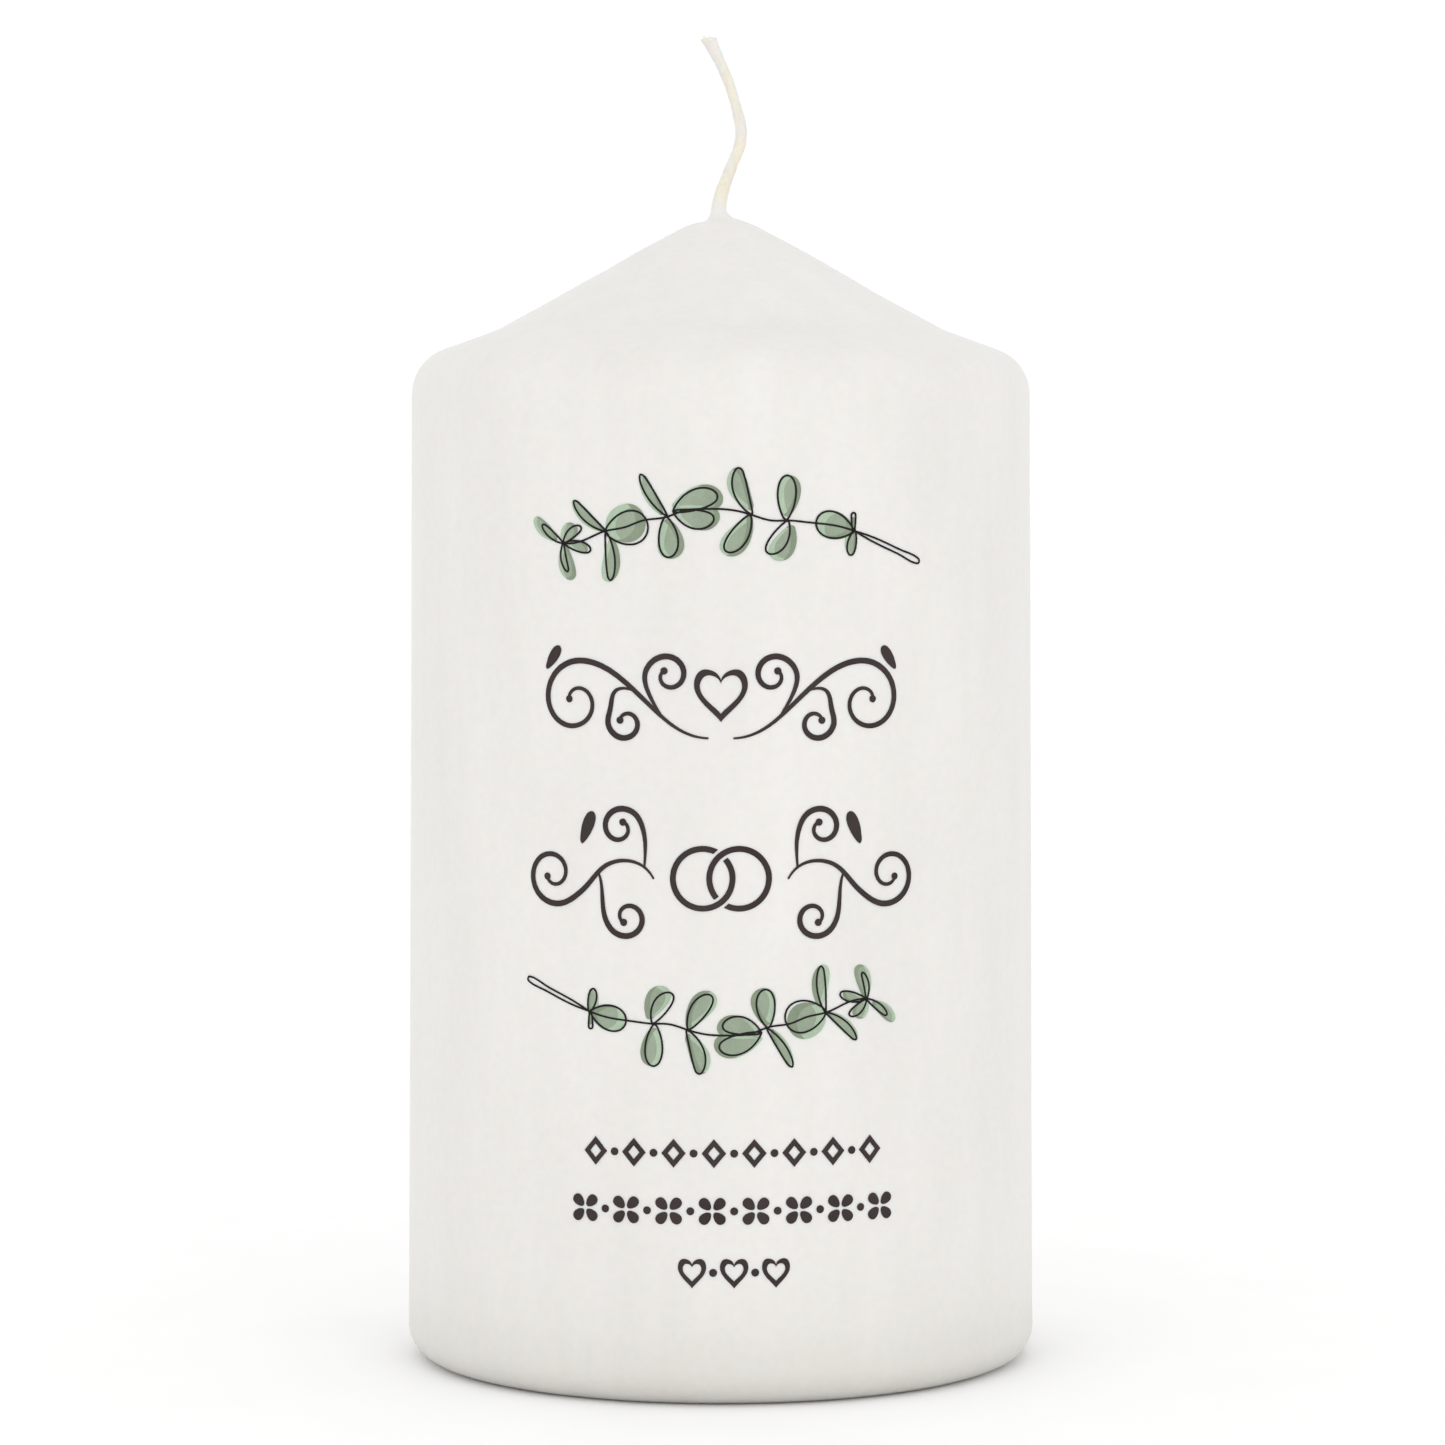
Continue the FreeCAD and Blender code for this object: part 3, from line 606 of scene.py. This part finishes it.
def wick_material():
    """Cotton soaked in wax: cream with yellower stretches, and as white as the wax where it leaves it."""
    made = Recipe("waxed_cotton", 0.5, IOR=1.44, Subsurface_Weight=0.2, Subsurface_Scale=0.0006)
    stains = made.texture(0.0030, (1, 1, 0.6), detail=1.0)
    threads = made.texture(0.0005, (1, 1, 0.4), detail=1.0)
    base = made.grade(stains, [(0.40, colour(226, 224, 219)), (0.62, colour(231, 226, 206))])
    veil = made.grade(threads, [(0.30, colour(248, 247, 246)), (0.70, colour(255, 255, 255))])
    wax = made.grade(stains, [(0.40, colour(226, 224, 220)), (0.62, colour(228, 225, 218))])
    cotton = made.blended(base, veil)
    mix = made.blended(wax, cotton, "MIX")
    made.links.new(made.height(wax_top + 0.0012, wax_top + 0.0042), mix.node.inputs["Factor"])
    made.tone(mix)
    made.gloss(stains, 0.42, 0.62)
    made.relief((threads, 0.00002))
    return made.material


def ink_material(name, deep, light, patch, roughness=0.45):
    """Printed ink: two close tones in soft patches, with the wax's grain showing through."""
    made = Recipe(name, roughness, IOR=1.45, Specular_IOR_Level=0.2)
    pool = made.texture(patch, (1, 1, 0.8), detail=3.0)
    grain = made.texture(0.00035, detail=2.0)
    base = made.grade(pool, [(0.34, colour(*deep)), (0.66, colour(*light))])
    veil = made.grade(grain, [(0.30, colour(244, 244, 244)), (0.70, colour(255, 255, 255))])
    made.tone(made.blended(base, veil))
    made.gloss(pool, roughness - 0.07, roughness + 0.08)
    made.relief((grain, 0.00001))
    return made.material


# ---- printed ink -----------------------------------------------------------------------------
def ink_skin(node, thickness, material):
    """The node's ink again, laid on the dipped surface's own ripples, in cells about a millimetre wide."""
    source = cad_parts[node].data
    shape = bmesh.new()
    shape.from_mesh(source)
    bmesh.ops.remove_doubles(shape, verts=shape.verts, dist=1e-6)
    depth = shape.verts.layers.float.new("depth")
    for vert in shape.verts:
        lift = math.hypot(vert.co.x, vert.co.y) - body_radius(vert.co.z)
        vert[depth] = 1.0 if lift > thickness / 2 else 0.0
    low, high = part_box(node)
    cell_width, cell_height = 0.0010, 0.0018
    for axis, cell in ((0, cell_width), (2, cell_height)):
        normal = Vector((axis == 0, 0, axis == 2))
        for k in range(math.ceil(low[axis] / cell), math.floor(high[axis] / cell) + 1):
            everything = list(shape.verts) + list(shape.edges) + list(shape.faces)
            bmesh.ops.bisect_plane(shape, geom=everything, plane_co=normal * cell * k, plane_no=normal)
    sunk = 0.00003
    for vert in shape.verts:
        angle = math.atan2(vert.co.y, vert.co.x)
        radius = body_radius(vert.co.z)
        true_place = Vector((radius * math.cos(angle), radius * math.sin(angle), vert.co.z))
        radius += wax_ripple(true_place) + between(-sunk, thickness, vert[depth])
        vert.co = (radius * math.cos(angle), radius * math.sin(angle), vert.co.z)
    shape.verts.layers.float.remove(depth)
    bmesh.ops.recalc_face_normals(shape, faces=shape.faces)
    mark_smooth(shape)
    mesh = bpy.data.meshes.new(node + "_print")
    shape.to_mesh(mesh)
    shape.free()
    mesh.materials.append(material)
    made = bpy.data.objects.new(node + "_print", mesh)
    bpy.context.scene.collection.objects.link(made)
    return made


# ---- studio ----------------------------------------------------------------------------------
def camera():
    """Stands in front, a little above the middle, and looks slightly down."""
    made = bpy.data.cameras.new("camera")
    made.sensor_width = 36.0
    made.lens = 126.7
    made.clip_start = 0.01
    holder = bpy.data.objects.new("camera", made)
    bpy.context.scene.collection.objects.link(holder)
    holder.location = (0.00019, -0.6489, 0.1157)
    holder.rotation_euler = (math.radians(90 - 3.07), 0, 0)
    bpy.context.scene.camera = holder


def floor(material):
    """A plain floor, just under the candle."""
    half, below = 8.0, -0.00004
    corners = [(x * half, y * half, below) for x, y in ((-1, -1), (1, -1), (1, 1), (-1, 1))]
    made = add_mesh("studio_floor", corners, [(0, 1, 2, 3)], material)


def soft_box(name, place, target, size, power):
    """A round soft light that faces the target; its power is in watts."""
    light = bpy.data.lights.new(name, "AREA")
    light.shape = "DISK"
    light.size = size
    light.energy = power
    holder = bpy.data.objects.new(name, light)
    bpy.context.scene.collection.objects.link(holder)
    holder.location = place
    holder.rotation_euler = (Vector(target) - Vector(place)).to_track_quat("-Z", "Y").to_euler()


def studio():
    """White room, pale floor and a soft light on each side in front."""
    world = bpy.data.worlds.new("studio")
    bpy.context.scene.world = world
    world.use_nodes = True
    world.node_tree.nodes["Background"].inputs["Color"].default_value = (1.0, 1.0, 1.0, 1.0)
    world.node_tree.nodes["Background"].inputs["Strength"].default_value = 1.02
    paper = Recipe("studio_paper", 0.9)
    paper.tone(paper.grade(paper.texture(0.02), [(0.3, colour(252, 252, 252)), (0.7, colour(254, 254, 254))]))
    floor(paper.material)
    aim = (0, 0, 0.07)
    soft_box("key", (0.75, -1.35, 0.35), aim, 0.9, 2.3)
    soft_box("fill", (-0.75, -1.35, 0.35), aim, 0.9, 1.9)
    bpy.context.scene.view_settings.view_transform = "Standard"


# ---- the candle ------------------------------------------------------------------------------
camera()
studio()

wick_piece, wick_line = braided_wick(wick_material())
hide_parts("wick")
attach(wick_piece, "root")
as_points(wick_line)

solid_pieces = [
    (wax_coat(wax_material()), "overdip_coat", "coat_wax"),
    (pressed_core(core_material()), "wax_core", "core_wax"),
    (sustainer(tin_material()), "wick_sustainer", "sustainer_steel")]

line_thickness, leaf_thickness, dark_thickness = 0.00008, 0.00004, 0.00006
inks = {
    "line": (ink_material("line_ink", (14, 13, 12), (26, 24, 22), 0.004), line_thickness),
    "dark_green": (
        ink_material("dark_green_ink", (126, 139, 117), (137, 150, 128), 0.003), leaf_thickness),
    "mid_green": (
        ink_material("mid_green_ink", (144, 157, 137), (153, 166, 146), 0.003), leaf_thickness),
    "pale_green": (
        ink_material("pale_green_ink", (164, 184, 160), (173, 192, 168), 0.003), leaf_thickness)}
dark = ink_material("dark_ink", (50, 41, 40), (59, 50, 49), 0.006)
for place in ("upper", "lower"):
    for ink, (material, thickness) in inks.items():
        node = place + "_sprig_" + ink
        solid_pieces.append((ink_skin(node, thickness, material), node, ink + "_ink"))
borders = ["border_row_" + place for place in ("top", "middle", "bottom")]
for node in ["upper_scroll", "lower_scroll", "linked_rings"] + borders:
    solid_pieces.append((ink_skin(node, dark_thickness, dark), node, "dark_ink"))

for piece, node, slot in solid_pieces:
    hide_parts(node)
    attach(piece, "root")
